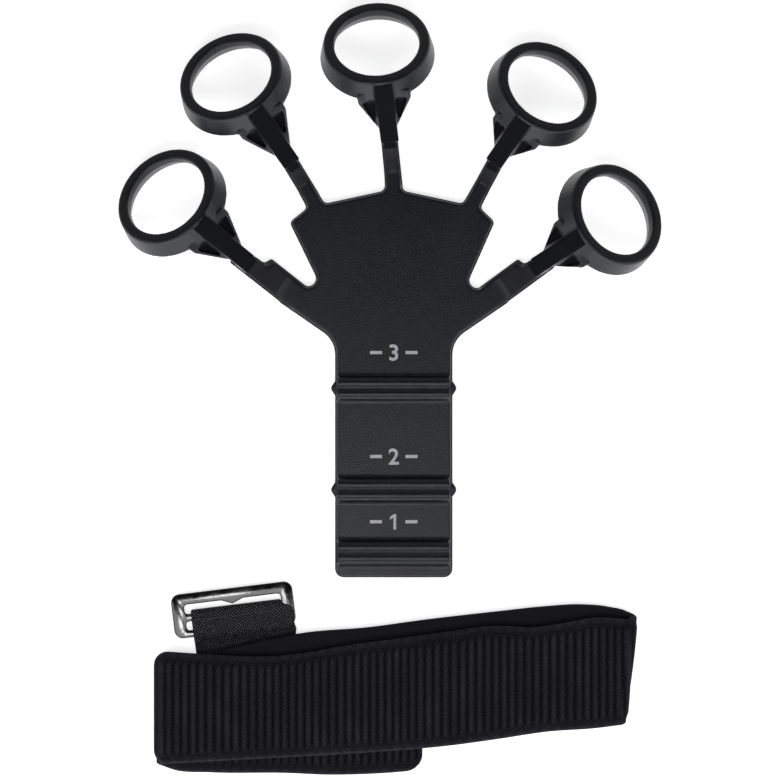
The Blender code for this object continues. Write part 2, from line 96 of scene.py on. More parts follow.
# Tail
TAIL = ("tail_upper", "tail_middle", "tail_end")
TAIL_HALF = 17.6
TAIL_END_Y = -86.2
ROLL_Y = (-29.5, -59.8, -78.6)
ROLL_PITCH, RIDGE_R, ROLL_TOP_Z = 3.2, 2.0, 7.0
LUG = 1.1
# Where the tail is cut, and where each cut's bend ends
TAIL_CUTS = ((-21.4, -25.8), (-36.4, -42.8), (-64.8, -71.2))
FLEX_Y = -23.55  # the tail's first flex line, which the frame gives the place of

tail_flex = Vector(JOINTS["tail_upper_flex"]["pos_m"])
HOME = Vector((tail_flex.x, tail_flex.y - FLEX_Y * MM, 0.0))
HOME_PLACE = Matrix.Translation(HOME)


def at(x, y, z=0.0):
    """A point of the object, in metres."""
    return HOME + Vector((x, y, z)) * MM


# ---- materials

GRAIN_MM = 0.45  # the mould's blasted grain is about 0.1 mm; it is drawn coarser, so that it shows
SILICONE_IOR = 1.41


def colour(hex_code):
    """Linear colour of an sRGB hex code."""
    channels = [int(hex_code[i:i + 2], 16) / 255 for i in (0, 2, 4)]
    return (*[c / 12.92 if c <= 0.04045 else ((c + 0.055) / 1.055) ** 2.4 for c in channels], 1.0)


def fill(tree, made, inputs):
    """Sets a node's inputs, each to a number, a colour or the socket that it is linked from."""
    for key, value in inputs.items():
        if isinstance(value, bpy.types.NodeSocket):
            tree.links.new(value, made.inputs[key])
        else:
            made.inputs[key].default_value = value


def node(tree, kind, inputs, **settings):
    """Adds a node with its settings and inputs, and gives its outputs."""
    made = tree.nodes.new(f"ShaderNode{kind}")
    for key, value in settings.items():
        setattr(made, key, value)
    fill(tree, made, inputs)
    return made.outputs


def new_material(name):
    """A material, its node tree and its shader."""
    made = bpy.data.materials.new(name)
    made.use_nodes = True
    return made, made.node_tree, made.node_tree.nodes["Principled BSDF"]


def moulded_silicone():
    """Compression-moulded black silicone rubber: a matt skin from a blasted mould, faintly dusty."""
    made, tree, shader = new_material("moulded_black_silicone")
    place = node(tree, "TexCoord", {})["Object"]
    grain = node(tree, "TexNoise", {"Vector": place, "Scale": PER_MM / GRAIN_MM, "Detail": 2,
                                    "Roughness": 0.6})[0]
    handling = node(tree, "TexNoise", {"Vector": place, "Scale": PER_MM / 14, "Detail": 3,
                                       "Roughness": 0.55})[0]
    fine = node(tree, "MapRange", {0: grain, 1: 0.3, 2: 0.7})[0]
    base = node(tree, "Mix", {0: fine, 6: colour("101217"), 7: colour("1C1E25")}, data_type="RGBA")[2]
    fill(tree, shader, {
        "Base Color": base,
        "Roughness": node(tree, "MapRange", {0: handling, 1: 0.3, 2: 0.7, 3: 0.29, 4: 0.37})[0],
        "IOR": SILICONE_IOR,
        "Normal": node(tree, "Bump", {"Height": grain, "Distance": 0.09 * MM, "Strength": 0.9})[0],
    })
    return made


def speckled(name, size_mm, detail, rough, range_used, dark, pale, gloss, sheen, relief_mm, strength):
    """A finish whose colour and relief follow one fine grain; gloss is its roughness and IOR."""
    made, tree, shader = new_material(name)
    place = node(tree, "TexCoord", {})["Object"]
    grain = node(tree, "TexNoise", {"Vector": place, "Scale": PER_MM / size_mm, "Detail": detail,
                                    "Roughness": rough})[0]
    shade = node(tree, "MapRange", {0: grain, 1: range_used[0], 2: range_used[1]})[0]
    base = node(tree, "Mix", {0: shade, 6: colour(dark), 7: colour(pale)}, data_type="RGBA")[2]
    fill(tree, shader, {
        "Base Color": base, "Roughness": gloss[0], "IOR": gloss[1], "Specular IOR Level": sheen,
        "Normal": node(tree, "Bump", {"Height": grain, "Distance": relief_mm * MM, "Strength": strength})[0],
    })
    return made


def painted_shade_silicone(name, dark, pale, roughness, sheen):
    """The same rubber, darker and rougher with little or no sheen: a copy put on chosen faces as painted
    shade.
    """
    return speckled(name, GRAIN_MM, 2, 0.6, (0, 1), dark, pale, (roughness, SILICONE_IOR), sheen, 0.05, 0.6)


def sewing_thread():
    """Bonded polyester thread: a slight sheen on each stitch."""
    return speckled("black_polyester_thread", 0.2, 2, 0.5, (0, 1), "1C1C1F", "36363A", (0.5, 1.53),
                    0.5, 0, 0)


def pad_print_ink():
    """Pale grey pad-printed ink, which takes a little of the rubber's grain."""
    return speckled("pale_grey_print_ink", GRAIN_MM, 2, 0.6, (0.3, 0.7), "B4B8BF", "D0D4DA", (0.6, 1.45),
                    0.5, 0.03, 0.4)


def looped_pile():
    """Brushed nylon loop pile, knitted in ribs: dark between its loops, with a pale fuzz on them."""
    made, tree, shader = new_material("black_loop_pile")
    place = node(tree, "UVMap", {}, uv_map="cloth")[0]
    # The pale attribute makes the fibre paler at the edges, and paler on the ribs' crests as a painted
    # highlight
    pale = node(tree, "Attribute", {}, attribute_name="pale")["Fac"]
    loops = node(tree, "TexVoronoi", {"Vector": place, "Scale": PER_MM / 0.6})["Distance"]
    fuzz = node(tree, "TexNoise", {"Vector": place, "Scale": PER_MM / 0.55, "Detail": 3,
                                   "Roughness": 0.7})[0]
    patches = node(tree, "TexNoise", {"Vector": place, "Scale": PER_MM / 16, "Detail": 3,
                                      "Roughness": 0.6})[0]
    worn = node(tree, "MapRange", {0: patches, 1: 0.35, 2: 0.65, 3: 0.5, 4: 0.75})[0]
    specks = node(tree, "MapRange", {0: fuzz, 1: 0.47, 2: 0.72, 3: 0, 4: 0.5})[0]
    shade = node(tree, "Math", {0: pale, 1: worn, 2: specks}, operation="MULTIPLY_ADD")[0]
    shaped = node(tree, "Bump", {"Height": loops, "Distance": 0.2 * MM, "Strength": 0.8})[0]
    base = node(tree, "Mix", {0: shade, 6: colour("050507"), 7: colour("313137")}, data_type="RGBA")[2]
    fill(tree, shader, {
        "Base Color": base, "Roughness": 0.95, "IOR": 1.5, "Specular IOR Level": 0.12,
        "Normal": node(tree, "Bump", {"Height": fuzz, "Distance": 0.25 * MM, "Strength": 0.9,
                                      "Normal": shaped})[0],
    })
    return made


def plain_knit():
    """The band's smooth knitted backing, with a fine ridge along each thread."""
    made, tree, shader = new_material("black_knitted_backing")
    place = node(tree, "UVMap", {}, uv_map="cloth")[0]
    ridges = node(tree, "TexWave", {"Vector": place, "Scale": PER_MM / 0.9 / 6.28, "Distortion": 1.5,
                                    "Detail": 2}, bands_direction="Y")[1]
    fuzz = node(tree, "TexNoise", {"Vector": place, "Scale": PER_MM / 0.6, "Detail": 3, "Roughness": 0.6})[0]
    shaped = node(tree, "Bump", {"Height": ridges, "Distance": 0.08 * MM, "Strength": 0.5})[0]
    base = node(tree, "Mix", {0: fuzz, 6: colour("121215"), 7: colour("1F1F23")}, data_type="RGBA")[2]
    fill(tree, shader, {
        "Base Color": base, "Roughness": 0.9, "IOR": 1.5, "Specular IOR Level": 0.15,
        "Normal": node(tree, "Bump", {"Height": fuzz, "Distance": 0.12 * MM, "Strength": 0.6,
                                      "Normal": shaped})[0],
    })
    return made


def woven_nylon():
    """Woven nylon webbing: staggered rows of small glossy threads."""
    made, tree, shader = new_material("black_woven_nylon")
    place = node(tree, "UVMap", {}, uv_map="cloth")[0]
    parts = node(tree, "SeparateXYZ", {0: place})
    waves = []
    # Threads of 0.52 mm in rows 0.46 mm apart, each row half a thread along from the last
    for part, pitch in ((parts[0], 0.46), (parts[1], 0.52)):
        turns = node(tree, "Math", {0: part, 1: math.pi / (pitch * MM)}, operation="MULTIPLY")[0]
        waves.append(node(tree, "Math", {0: turns}, operation="SINE")[0])
    weave = node(tree, "Math", {0: waves[0], 1: waves[1]}, operation="MULTIPLY")[0]
    raised = node(tree, "MapRange", {0: weave, 1: 0.1, 2: 0.95})[0]
    patches = node(tree, "TexNoise", {"Vector": place, "Scale": PER_MM / 0.9, "Detail": 2,
                                      "Roughness": 0.6})[0]
    # The raised threads are painted pale: a painted highlight on each thread of the black webbing
    lit = node(tree, "Math", {0: raised, 1: patches}, operation="MULTIPLY")[0]
    shade = node(tree, "MapRange", {0: lit, 1: 0.05, 2: 0.55})[0]
    base = node(tree, "Mix", {0: shade, 6: colour("040405"), 7: colour("85858C")}, data_type="RGBA")[2]
    fill(tree, shader, {
        "Base Color": base, "Roughness": 0.6, "IOR": 1.53, "Specular IOR Level": 0.14,
        "Normal": node(tree, "Bump", {"Height": raised, "Distance": 0.3 * MM, "Strength": 1})[0],
    })
    return made


def gloss_enamel():
    """Stoved black enamel on pressed steel: deep gloss with a faint orange-peel ripple."""
    made, tree, shader = new_material("gloss_black_enamel")
    place = node(tree, "TexCoord", {})["Object"]
    scuffs = node(tree, "TexNoise", {"Vector": place, "Scale": PER_MM / 2.2, "Detail": 3,
                                     "Roughness": 0.6})[0]
    ripple = node(tree, "TexNoise", {"Vector": place, "Scale": PER_MM / 1.3, "Detail": 1,
                                     "Roughness": 0.5})[0]
    fill(tree, shader, {
        "Base Color": colour("050506"),
        "Roughness": node(tree, "MapRange", {0: scuffs, 1: 0.35, 2: 0.7, 3: 0.08, 4: 0.22})[0],
        "IOR": 1.5, "Coat Weight": 0.6, "Coat Roughness": 0.05,
        "Normal": node(tree, "Bump", {"Height": ripple, "Distance": 0.05 * MM, "Strength": 0.35})[0],
    })
    return made


def hook_tape():
    """Moulded nylon hooks, too small to model, standing in even rows on a woven tape."""
    made, tree, shader = new_material("black_hook_tape")
    place = node(tree, "TexCoord", {})["Object"]
    hooks = node(tree, "TexVoronoi", {"Vector": place, "Scale": PER_MM / 0.8, "Randomness": 0.25})[0]
    # Paler on each hook and darker in the gaps between them: a painted highlight and painted shade
    hook_highlight_and_gap_shade = node(tree, "MapRange", {0: hooks, 1: 0.1, 2: 0.6})[0]
    base = node(tree, "Mix", {0: hook_highlight_and_gap_shade, 6: colour("3A3A40"), 7: colour("0C0C0E")}, data_type="RGBA")[2]
    fill(tree, shader, {
        "Base Color": base, "Roughness": 0.45, "IOR": 1.53,
        "Normal": node(tree, "Bump", {"Height": hooks, "Distance": 0.4 * MM, "Strength": -0.9})[0],
    })
    return made


# ---- modelling helpers

def start():
    if bpy.context.object and bpy.context.object.mode != "OBJECT":
        bpy.ops.object.mode_set(mode="OBJECT")
    bpy.ops.object.select_all(action="DESELECT")


def pick(obj):
    start()
    obj.select_set(True)
    bpy.context.view_layer.objects.active = obj


def edit(obj, how="SELECT"):
    pick(obj)
    bpy.ops.object.mode_set(mode="EDIT")
    bpy.ops.mesh.select_all(action=how)


def done():
    bpy.ops.object.mode_set(mode="OBJECT")


def apply(obj, kind, **settings):
    """Adds a modifier and applies it."""
    pick(obj)
    added = obj.modifiers.new(kind.lower(), kind)
    for key, value in settings.items():
        setattr(added, key, value)
    bpy.ops.object.modifier_apply(modifier=added.name)
    return obj


def tidy_shell(obj):
    """Merges doubles and turns the faces outwards."""
    edit(obj)
    bpy.ops.mesh.remove_doubles(threshold=1e-6)
    bpy.ops.mesh.normals_make_consistent(inside=False)
    done()
    return obj


def soften(obj, width, segments):
    """Rounds a hard piece's edges."""
    apply(obj, "BEVEL", width=width * MM, segments=segments, limit_method="ANGLE",
          angle_limit=math.radians(50))
    bpy.ops.object.shade_smooth_by_angle(angle=math.radians(35))


def finish_with(obj, *finishes):
    obj.data.materials.clear()
    for finish in finishes:
        obj.data.materials.append(finish)


def face_vectors(mesh, what):
    """Each face's centre or normal, as rows of numbers."""
    values = np.empty(len(mesh.polygons) * 3)
    mesh.polygons.foreach_get(what, values)
    return values.reshape(-1, 3)


def arc(centre, radius, first, last, steps):
    """Points on a circle from first to last, in degrees, both included."""
    angles = [math.radians(first + (last - first) * i / steps) for i in range(steps + 1)]
    return [(centre[0] + radius * math.cos(a), centre[1] + radius * math.sin(a)) for a in angles]


def rounded(corners, steps=8):
    """An outline from (x, y, fillet radius) corners, each fillet drawn as an arc."""
    points = []
    for i, (x, y, radius) in enumerate(corners):
        here = Vector((x, y))
        if radius == 0:
            points.append((x, y))
            continue
        back = (Vector(corners[i - 1][:2]) - here).normalized()
        ahead = (Vector(corners[(i + 1) % len(corners)][:2]) - here).normalized()
        half = back.angle(ahead) / 2
        centre = here + (back + ahead).normalized() * (radius / math.sin(half))
        first = here + back * (radius / math.tan(half)) - centre
        last = here + ahead * (radius / math.tan(half)) - centre
        sweep = first.angle_signed(last)
        points += [tuple(centre + Matrix.Rotation(-sweep * k / steps, 2) @ first) for k in range(steps + 1)]
    return points


def outline_face(name, points):
    """A flat face with this outline, lying at z = 0."""
    start()
    bpy.ops.mesh.primitive_circle_add(vertices=len(points), fill_type="NGON")
    made = bpy.context.object
    made.name = name
    for vertex, (x, y) in zip(made.data.vertices, points):
        vertex.co = (x * MM, y * MM, 0.0)
    return made


def extrude_up(obj, height):
    edit(obj)
    bpy.ops.mesh.extrude_region_move(TRANSFORM_OT_translate={"value": (0, 0, height * MM)})
    done()


def prism(name, points, low, high, place=None, draft=0.0):
    """An outline extruded from low to high; with a draft, its upper part leans in by that much."""
    made = outline_face(name, points)
    if made.data.polygons[0].normal.z < 0:
        edit(made)
        bpy.ops.mesh.flip_normals()
        done()
    upright_part = WALL_H if draft else high - low
    extrude_up(made, upright_part)
    if draft:
        edit(made, "DESELECT")
        done()
        max(made.data.polygons, key=lambda face: face.center.z).select = True
        bpy.ops.object.mode_set(mode="EDIT")
        bpy.ops.mesh.inset(thickness=draft * MM, depth=(high - low - WALL_H) * MM)
        done()
    made.data.transform(Matrix.Translation((0, 0, low * MM)))
    if place is not None:
        made.data.transform(place)
    return tidy_shell(made)


def cut(base, cutters, operation):
    for cutter in cutters:
        apply(base, "BOOLEAN", operation=operation, solver="EXACT", object=cutter)
        bpy.data.objects.remove(cutter)
    return base


def upright(point, degrees):
    """Stands a side profile up: its x runs outward along degrees, its y runs up."""
    turn = Matrix.Rotation(math.radians(degrees), 4, "Z") @ Matrix.Rotation(math.pi / 2, 4, "X")
    return Matrix.Translation(at(*point)) @ turn


def join(pieces, name):
    start()
    for piece in pieces:
        piece.select_set(True)
    bpy.context.view_layer.objects.active = pieces[0]
    bpy.ops.object.join()
    pieces[0].name = name
    return pieces[0]


# ---- silicone moulding

def stem_frame(name):
    """The stem's root, outward and sideways unit directions, and flex point, in plan."""
    root, side, neck = FINGERS[name][:3]
    start_point = Vector((root[0] * side, root[1]))
    along = (Vector(neck) - start_point).normalized()
    across = Vector((-along.y, along.x))
    return start_point, along, across, start_point + along * NOSE


def root_edge(name, further=3.0):
    """The stem's two corners, carried a little past its root so that stem and palm overlap."""
    start_point, along, across, _ = stem_frame(name)
    half = FINGERS[name][0][2]
    tip = start_point + along * further
    return (*(tip - across * half), 0), (*(tip + across * half), 0)


def palm_outline():
    shoulder = (TAIL_HALF, -15.2, 8.0)
    notch = (19.3, -4.3, 2.3)
    shelf = (30.3, 20.4, 1.5)
    left_shelf = (-31.3, 20.3, 1.5)
    outer_fillet = (26.0, 24.5, 1.3)
    inner_fillet = (20.7, 25.9, 1.5)
    crown_fillet = (2.6, 29.8, 1.8)

    def mirrored(corner):
        return (-corner[0], corner[1], corner[2])

    right = [shoulder, *root_edge("little"), notch, shelf, outer_fillet]
    right += [*root_edge("ring"), inner_fillet, crown_fillet]
    left = [mirrored(c) for c in (crown_fillet, inner_fillet)]
    left += [*root_edge("index"), mirrored(outer_fillet), left_shelf, mirrored(notch)]
    left += [*root_edge("thumb"), mirrored(shoulder)]
    tail = [(-TAIL_HALF, TAIL_END_Y, 2.6), (TAIL_HALF, TAIL_END_Y, 2.6)]
    return rounded(right + [*root_edge("middle")] + left + tail)


def stem_outline(name, length):
    """Top view of a stem in its own frame, with the moulded tab on the two outer ones."""
    half = FINGERS[name][0][2]
    if FINGERS[name][0] is not ROOT_OUTER:
        neck = STEM_W / 2
        return [(-4, -half, 0), (length, -neck, 0), (length, neck, 0), (-4, half, 0)]
    lower = [(-4, -half, 0), (length + 1, -3.4, 0)]
    tab = [(10.4, 2.6, 1.2), (9.7, 4.9, 0.6), (7.0, 4.8, 4.0)]
    corners = lower + [(length + 1, 2.4, 0), *tab, (-4, half, 0)]
    if FINGERS[name][1] < 0:
        corners = [(s, -n, r) for s, n, r in corners][::-1]
    return corners


def rise(s, length):
    """Height of a stem's middle above the flat web, and its slope."""
    climb = NECK_Z - FLEX_Z
    return climb * (s / length) ** 2, math.atan(2 * climb * s / length ** 2)


def make_stem(name):
    """A drafted bar along the stem, bent up from its flex line to the neck."""
    _, along, _, flex = stem_frame(name)
    length = (Vector(FINGERS[name][2]) - flex).length
    bar = prism("bar", rounded(stem_outline(name, length)), 0, WEB_T, draft=DRAFT)
    stations = 16
    for i in range(1, stations):
        edit(bar)
        bpy.ops.mesh.bisect(plane_co=(length * i / stations * MM, 0, 0), plane_no=(1, 0, 0))
        done()
    for vertex in bar.data.vertices:
        s, z = vertex.co.x / MM, vertex.co.z / MM
        if s > 0:
            lift, slope = rise(s, length)
            vertex.co.x = (s - (z - FLEX_Z) * math.sin(slope)) * MM
            vertex.co.z = (FLEX_Z + lift + (z - FLEX_Z) * math.cos(slope)) * MM
    turn = Matrix.Rotation(math.atan2(along.y, along.x), 4, "Z")
    bar.data.transform(Matrix.Translation(at(*flex)) @ turn)
    return bar


def make_ring(name):
    """The conical loop, its section spun round the loop's own leaning axis."""
    section = [
        *arc((LOOP_LIP_R - 0.75, LOOP_H - 0.75), 0.75, 90, 5, 5),
        *arc((LOOP_FOOT_R - 0.5, 0.5), 0.5, 5, -90, 4),
        *arc((LOOP_MOUTH_R + 0.3, 0.3), 0.3, -90, -160, 2),
        (LOOP_BORE_R, LOOP_H - 2.6),
        *arc((LOOP_BORE_R + 0.5, LOOP_H - 0.5), 0.5, 180, 90, 4),
    ]
    ring = outline_face("ring", section)
    ring.data.transform(Matrix.Rotation(math.pi / 2, 4, "X"))
    edit(ring)
    bpy.ops.mesh.delete(type="ONLY_FACE")
    bpy.ops.mesh.select_all(action="SELECT")
    bpy.ops.mesh.spin(steps=160, angle=math.tau, center=(0, 0, 0), axis=(0, 0, 1))
    done()
    centre, lean_degrees = FINGERS[name][3:]
    out = Vector((math.cos(math.radians(lean_degrees)), math.sin(math.radians(lean_degrees))))
    foot = Vector(centre) - out * (LOOP_H * math.sin(LEAN))
    turn = Matrix.Rotation(math.radians(lean_degrees), 4, "Z") @ Matrix.Rotation(LEAN, 4, "Y")
    ring.data.transform(Matrix.Translation(at(*foot, FOOT_Z)) @ turn)
    return tidy_shell(ring)


WALL_OUT, WALL_UP = 0.81, 0.59  # direction straight out from the loop's wall, in the spine's side view
PLATE_DROP = 1.6  # how far the gussets' plates lie below the spine's top


def wall_line(name):
    """In the spine's side view: the wall's lower and upper rim, as (distance from the neck, height)."""
    neck, centre, lean_degrees = FINGERS[name][2:]
    reach = Vector(centre) - Vector(neck)
    turned = math.atan2(reach.y, reach.x) - math.radians(lean_degrees)
    lip = reach.length - LOOP_LIP_R * math.cos(LEAN) / math.cos(turned)
    foot = reach.length - (LOOP_H * math.sin(LEAN) + LOOP_FOOT_R * math.cos(LEAN)) / math.cos(turned)
    return (foot, FOOT_Z + LOOP_FOOT_R * math.sin(LEAN)), (lip, LIP_Z + LOOP_LIP_R * math.sin(LEAN))


def spine_profile(name, thickness, drop, ahead_by):
    """Side view of the spine, or of a gusset's plate: from the neck up into the loop's wall."""
    (foot_s, foot_z), (lip_s, lip_z) = wall_line(name)
    raise_by = 1.1 - drop
    top_foot = Vector((foot_s - WALL_OUT * raise_by, foot_z + WALL_UP * raise_by))
    top_lip = Vector((lip_s - WALL_OUT * raise_by, lip_z + WALL_UP * raise_by - 1.2))
    slope = math.atan2(top_foot.y - (NECK_Z + thickness / 2 * 0.75), top_foot.x)
    normal = Vector((-math.sin(slope), math.cos(slope)))
    top_neck = Vector((0, NECK_Z)) + normal * (SPINE_T / 2 - drop)
    low_neck = top_neck - normal * thickness
    ahead = Vector((math.cos(slope), math.sin(slope))) * ahead_by
    low_foot = top_foot + Vector((0.9, -0.6)) * thickness
    low_lip = top_lip + Vector((1.6, -0.9))
    if ahead_by:
        return [tuple(p) for p in (top_neck + ahead, low_neck + ahead, low_foot, low_lip, top_lip, top_foot)]
    turn = math.degrees(slope)
    nose = arc((0, NECK_Z), SPINE_T / 2, 90 + turn, 270 + turn, 16)
    return nose + [tuple(p) for p in (low_foot, low_lip, top_lip, top_foot)]


def across(name, profile, half, place):
    return prism(name, profile, -half, half, place)


def make_bracket(name):
    """Spine and gussets under the loop; each gusset has a triangular pocket."""
    neck, centre = FINGERS[name][2:4]
    reach = Vector(centre) - Vector(neck)
    degrees = math.degrees(math.atan2(reach.y, reach.x))
    place = upright(neck, degrees)
    flat = Matrix.Translation(at(*neck)) @ Matrix.Rotation(math.radians(degrees), 4, "Z")
    foot_s = wall_line(name)[0][0]
    spine = across("spine", spine_profile(name, SPINE_T, 0.0, 0), SPINE_W / 2, place)
    plate = across("plate", spine_profile(name, GUSSET_T, PLATE_DROP, 1.0), GUSSET_HALF + 1, place)
    triangle = [(1.2, -2.2), (foot_s + 0.5, -GUSSET_HALF), (foot_s + 2.4, -GUSSET_HALF),
                (foot_s + 2.4, GUSSET_HALF), (foot_s + 0.5, GUSSET_HALF), (1.2, 2.2)]
    cut(plate, [prism("triangle", triangle, 0, 40, flat)], "INTERSECT")
    for side in (-1, 1):
        corners = [(foot_s - 6.4, side * 3.3), (foot_s + 0.3, side * (GUSSET_HALF - 1.2)),
                   (foot_s + 0.6, side * 3.3)]
        deep = across("pocket", spine_profile(name, 6.0, PLATE_DROP + POCKET_DEPTH - 6.0, 0.5), 9, place)
        cut(deep, [prism("pocket_plan", corners[::side], 0, 40, flat)], "INTERSECT")
        cut(plate, [deep], "DIFFERENCE")
    return [spine, plate]


def make_roll(middle):
    """A double roll across the tail: two half-round ridges and the valley between them."""
    peak = ROLL_TOP_Z - RIDGE_R
    low, high = middle - ROLL_PITCH / 2, middle + ROLL_PITCH / 2
    profile = [(low - RIDGE_R, WEB_T - 2.0)]
    profile += arc((low, peak), RIDGE_R, 180, 36, 12)
    profile += arc((high, peak), RIDGE_R, 144, 0, 12)
    profile.append((high + RIDGE_R, WEB_T - 2.0))
    turn = Matrix.Rotation(math.pi / 2, 4, "Z") @ Matrix.Rotation(math.pi / 2, 4, "X")
    return across("roll", profile, TAIL_HALF - DRAFT - 0.1, HOME_PLACE @ turn)


def make_lug(side, y):
    lug = [(TAIL_HALF - 2, y - 2.3), (TAIL_HALF, y - 2.1), (TAIL_HALF + LUG, y - 0.5),
           (TAIL_HALF + LUG, y + 0.5), (TAIL_HALF, y + 2.1), (TAIL_HALF - 2, y + 2.3)]
    if side < 0:
        lug = [(-x, v) for x, v in lug][::-1]
    return prism("lug", lug, 0.6, 5.4, HOME_PLACE)


def seams():
    """Where the moulding is cut: a point on each cut, its normal, and the cut's half width."""
    found = []
    for name in FINGERS:
        root, along, _, _ = stem_frame(name)
        found.append((at(*root, FLEX_Z), Vector((*along, 0)), 6.5))
        step, ahead = neck_step(name)
        found.append((step, ahead, 4.6))
    found += [(at(0, y, FLEX_Z), Vector((0, 1, 0)), TAIL_HALF + 2.4) for y, _ in TAIL_CUTS]
    return found


def neck_step(name):
    """The point where the stem meets the spine's step, and the stem's direction there."""
    _, along, _, flex = stem_frame(name)
    length = (Vector(FINGERS[name][2]) - flex).length
    lift, slope = rise(length - STEP, length)
    point = flex + along * (length - STEP)
    ahead = Vector((*(along * math.cos(slope)), math.sin(slope)))
    return at(*point, FLEX_Z + lift), ahead


def make_moulding():
    """The whole moulding as one softened lump."""
    lumps = [prism("web", palm_outline(), 0, WEB_T, HOME_PLACE, draft=DRAFT)]
    for name in FINGERS:
        lumps += [make_stem(name), make_ring(name), *make_bracket(name)]
    lumps += [make_roll(middle) for middle in ROLL_Y]
    lumps += [make_lug(side, y) for y in ROLL_Y[:2] for side in (-1, 1)]
    moulding = join(lumps, "moulding")
    apply(moulding, "REMESH", mode="VOXEL", voxel_size=VOXEL * MM)
    return apply(moulding, "SMOOTH", factor=0.5, iterations=5)


def cut_seam(lump, point, normal, half):
    """Cuts the lump across at one seam and caps both sides, so that the halves can part."""
    edit(lump, "DESELECT")
    done()
    offset = face_vectors(lump.data, "center") - np.array(point)
    ahead = offset @ np.array(normal)
    aside = np.linalg.norm(offset - ahead[:, None] * np.array(normal), axis=1)
    near = (np.abs(ahead) < 2 * VOXEL * MM) & (aside < half * MM)
    lump.data.polygons.foreach_set("select", near)
    bpy.ops.object.mode_set(mode="EDIT")
    bpy.ops.mesh.bisect(plane_co=point, plane_no=normal)
    bpy.ops.mesh.edge_split(type="EDGE")
    bpy.ops.mesh.fill_holes(sides=0)
    done()


def part_centres():
    """Roughly where the middle of each part of the cut moulding is."""
    centres = {"palm_web": at(0, 5)}
    for name in FINGERS:
        neck, rim = FINGERS[name][2:4]
        centres[f"{name}_stem"] = at(*((stem_frame(name)[0] + Vector(neck)) / 2), 4)
        centres[f"{name}_loop"] = at(*rim, 12)
    for name, y in zip(TAIL, (-29, -51, -76)):
        centres[name] = at(0, y, 3)
    return centres


# How upright a face's normal is on a stem's rise, on a flank and, to the loop's axis, on a lip; those faces
# take the darker copies of the silicone as painted shade
RISE_LIMIT, FLANK_LIMIT, LIP_LIMIT = 0.985, 0.3, 0.93


def skin_finish_and_painted_shade(obj, node_name):
    """Each face's finish: 0 moulded, 1 darker matt copy on flanks, pockets and spines, 2 satin copy on rises
    and lips; both copies are painted shade.
    """
    centres, normals = face_vectors(obj.data, "center") / MM, face_vectors(obj.data, "normal")
    if not node_name.endswith("_loop"):
        # Flanks get the dark matt copy and stem rises the satin one: painted shade on side walls and slopes
        rising = (normals[:, 2] < RISE_LIMIT) & node_name.endswith("_stem")
        return np.where(normals[:, 2] < FLANK_LIMIT, 1, np.where(rising, 2, 0))
    finger = node_name.removesuffix("_loop")
    neck, centre = (Vector(p) for p in FINGERS[finger][2:4])
    reach = (centre - neck).normalized()
    out = math.radians(FINGERS[finger][4])
    axis = np.array((math.sin(LEAN) * math.cos(out), math.sin(LEAN) * math.sin(out), math.cos(LEAN)))
    offset = centres[:, :2] - np.array(at(*neck) / MM)[:2]
    ahead = offset @ np.array(reach)
    aside = np.abs(offset @ np.array((-reach.y, reach.x)))
    lip = wall_line(finger)[1][0]
    foot, foot_z = wall_line(finger)[0]
    # Height of the gussets' plates, which their pockets lie below
    plate_z = NECK_Z + SPINE_T / 2 - PLATE_DROP + (foot_z - NECK_Z - 1.2) * np.clip(ahead / foot, 0, 1)
    # Spines and pockets get the dark matt copy and lips the satin one: painted shade on these faces
    spine = (aside < SPINE_W / 2 - 0.1) & (ahead < lip - 0.6) & (normals[:, 2] > 0.1)
    pocket = (aside > SPINE_W / 2 + 0.4) & (ahead < foot + 0.2) & (centres[:, 2] < plate_z - 0.9)
    lip_face = normals @ axis > LIP_LIMIT
    return np.where(spine | pocket, 1, np.where(lip_face, 2, 0))


def part_moulding(lump, finishes):
    """Cuts the lump at its seams, and names each part for the node that it stands for."""
    for point, normal, half in seams():
        cut_seam(lump, point, normal, half)
    edit(lump)
    bpy.ops.mesh.separate(type="LOOSE")
    done()
    parts = [obj for obj in bpy.context.selected_objects if obj.type == "MESH"]
    named = {}
    for name, centre in part_centres().items():
        nearest = min(parts, key=lambda obj: (middle_of(obj) - centre).length)
        nearest.name = f"{name}_skin"
        nearest.data.name = nearest.name
        named[name] = nearest
        pick(nearest)
        bpy.ops.object.shade_smooth_by_angle(angle=math.radians(60))
        finish_with(nearest, *finishes)
        nearest.data.polygons.foreach_set("material_index", skin_finish_and_painted_shade(nearest, name).astype(np.int32))
        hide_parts(name)
    return named


def middle_of(obj):
    corners = np.array(obj.bound_box)
    return Vector((corners.min(0) + corners.max(0)) / 2)


def ride_moulding(parts):
    """Attaches the palm's part to the palm's body; the stems, loops and tail parts keep their place, baked
    into their meshes.
    """
    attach(parts["palm_web"], "palm")
    for name in FINGERS:
        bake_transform(parts[f"{name}_stem"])
        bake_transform(parts[f"{name}_loop"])
    for name, (first, last) in zip(TAIL, TAIL_CUTS):
        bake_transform(parts[name])


# ---- band

# Edges of each layer of the band, as (x, y) points that a smooth line runs through
FRONT_TOP = ((-71.5, -107.6), (-60, -108.4), (-45, -109.2), (-34, -109.1), (-25, -108.0), (-15, -106.2),
             (2, -103.9), (17, -101.8), (30, -100.2), (42, -100.6), (50, -99.5), (60, -97.8), (72.5, -98.6))
FRONT_LOW = ((-71.5, -141.6), (-38, -139.7), (-8, -138.0), (17, -135.9), (31, -134.0), (46, -131.8),
             (60, -130.8), (72, -129.2))
BACK_TOP = ((-72, -111.4), (-60, -109.4), (-46, -106.2), (-36, -104.1), (-26, -102.4), (-8, -100.9),
            (10, -98.5), (31, -96.1), (45, -94.6), (56, -94.0), (64, -94.7), (70.5, -96.6), (74, -99.6))
BACK_LOW = ((-72, -141.6), (-40, -138.6), (0, -135.2), (40, -131.8), (74, -128.9))
UNDER_TOP = ((-72, -111.0), (10, -110.4))
UNDER_LOW = ((-72, -141.4), (-66, -143.8), (-55, -144.6), (-32, -144.8), (-20, -145.3), (-6, -145.0),
             (10, -143.8))

